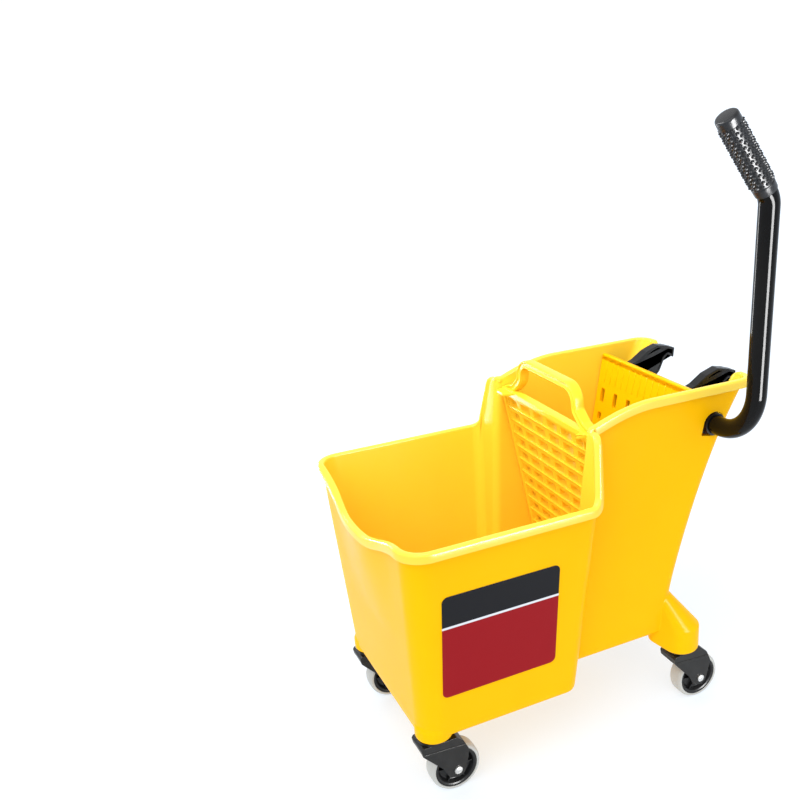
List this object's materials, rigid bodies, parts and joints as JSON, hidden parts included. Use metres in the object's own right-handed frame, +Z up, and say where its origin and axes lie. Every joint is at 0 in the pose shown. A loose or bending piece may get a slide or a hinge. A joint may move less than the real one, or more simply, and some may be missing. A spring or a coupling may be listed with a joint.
{
  "type": "mop bucket with wringer",
  "caption": "Wheeled mop bucket with a pour-lip bin, a perforated wringing screen, a hinged press plate and a long bent side lever with a studded grip.",
  "frame": {"origin": "bottom centre of the bounding box, on the floor that the wheels stand on", "axes": "+Z up; +X towards the wringer end, so the pour lip faces -X; the lever stands on the -Y side"},
  "size_m": [0.542, 0.3844, 0.8196],
  "materials": {
    "yellow_plastic": "injection-moulded, satin gloss",
    "yellow_wringer": "injection-moulded, satin gloss",
    "black_tube": "gloss black enamel",
    "black_rubber": "studded, dull",
    "black_plastic": "satin moulded",
    "grey_tread": "smooth, non-marking",
    "zinc_steel": "zinc plated",
    "label": "printed film, textless"
  },
  "bodies": {
    "bucket": {"bucket_shell": "yellow_plastic", "wringer_screen": "yellow_wringer", "loop_handle": "yellow_wringer", "drain_shelf": "yellow_wringer", "plate_pivot_pin": "zinc_steel", "shaft_bushing_near": "black_plastic", "shaft_bushing_far": "black_plastic", "side_label": "label", "caster_stem_front_near": "zinc_steel", "caster_stem_front_far": "zinc_steel", "caster_stem_rear_near": "zinc_steel", "caster_stem_rear_far": "zinc_steel"},
    "lever": {"lever_tube": "black_tube", "lever_grip": "black_rubber", "cam_arm_near": "black_plastic", "cam_arm_far": "black_plastic", "arm_screw_near": "zinc_steel", "arm_screw_far": "zinc_steel", "return_spring": "zinc_steel", "shaft_end_cap": "black_plastic"},
    "press_plate": {"press_plate": "yellow_wringer"},
    "swivel_front_near": {"caster_fork_front_near": "black_plastic", "caster_axle_front_near": "zinc_steel"},
    "wheel_front_near": {"caster_hub_front_near": "black_plastic", "caster_tread_front_near": "grey_tread"},
    "swivel_front_far": {"caster_fork_front_far": "black_plastic", "caster_axle_front_far": "zinc_steel"},
    "wheel_front_far": {"caster_hub_front_far": "black_plastic", "caster_tread_front_far": "grey_tread"},
    "swivel_rear_near": {"caster_fork_rear_near": "black_plastic", "caster_axle_rear_near": "zinc_steel"},
    "wheel_rear_near": {"caster_hub_rear_near": "black_plastic", "caster_tread_rear_near": "grey_tread"},
    "swivel_rear_far": {"caster_fork_rear_far": "black_plastic", "caster_axle_rear_far": "zinc_steel"},
    "wheel_rear_far": {"caster_hub_rear_far": "black_plastic", "caster_tread_rear_far": "grey_tread"}
  },
  "joints": [
    {"name": "lever_pull", "type": "hinge", "parent": "bucket", "child": "lever", "pos_m": [0.19953, 0.02002, 0.422], "axis": [0, -1, 0], "range_deg": [0, 120], "stiffness_Nm_per_rad": 0.7, "springref_deg": -20.05},
    {"name": "plate_press", "type": "hinge", "parent": "bucket", "child": "press_plate", "pos_m": [0.12053, 0.02002, 0.166], "axis": [0, -1, 0], "range_deg": [0, 13.2]},
    {"name": "swivel_turn_front_near", "type": "hinge", "parent": "bucket", "child": "swivel_front_near", "pos_m": [-0.22447, -0.09298, 0.0838], "axis": [0, 0, 1], "continuous": true},
    {"name": "wheel_roll_front_near", "type": "hinge", "parent": "swivel_front_near", "child": "wheel_front_near", "pos_m": [-0.19847, -0.09298, 0.0343], "axis": [0, 1, 0], "continuous": true},
    {"name": "swivel_turn_front_far", "type": "hinge", "parent": "bucket", "child": "swivel_front_far", "pos_m": [-0.22447, 0.13302, 0.0838], "axis": [0, 0, 1], "continuous": true},
    {"name": "wheel_roll_front_far", "type": "hinge", "parent": "swivel_front_far", "child": "wheel_front_far", "pos_m": [-0.19847, 0.13302, 0.0343], "axis": [0, 1, 0], "continuous": true},
    {"name": "swivel_turn_rear_near", "type": "hinge", "parent": "bucket", "child": "swivel_rear_near", "pos_m": [0.16253, -0.09298, 0.0838], "axis": [0, 0, 1], "continuous": true},
    {"name": "wheel_roll_rear_near", "type": "hinge", "parent": "swivel_rear_near", "child": "wheel_rear_near", "pos_m": [0.18853, -0.09298, 0.0343], "axis": [0, 1, 0], "continuous": true},
    {"name": "swivel_turn_rear_far", "type": "hinge", "parent": "bucket", "child": "swivel_rear_far", "pos_m": [0.16253, 0.13302, 0.0838], "axis": [0, 0, 1], "continuous": true},
    {"name": "wheel_roll_rear_far", "type": "hinge", "parent": "swivel_rear_far", "child": "wheel_rear_far", "pos_m": [0.18853, 0.13302, 0.0343], "axis": [0, 1, 0], "continuous": true}
  ],
  "couplings": [
    {"joint": "plate_press", "follows": "lever_pull", "ratio": 0.11}
  ]
}
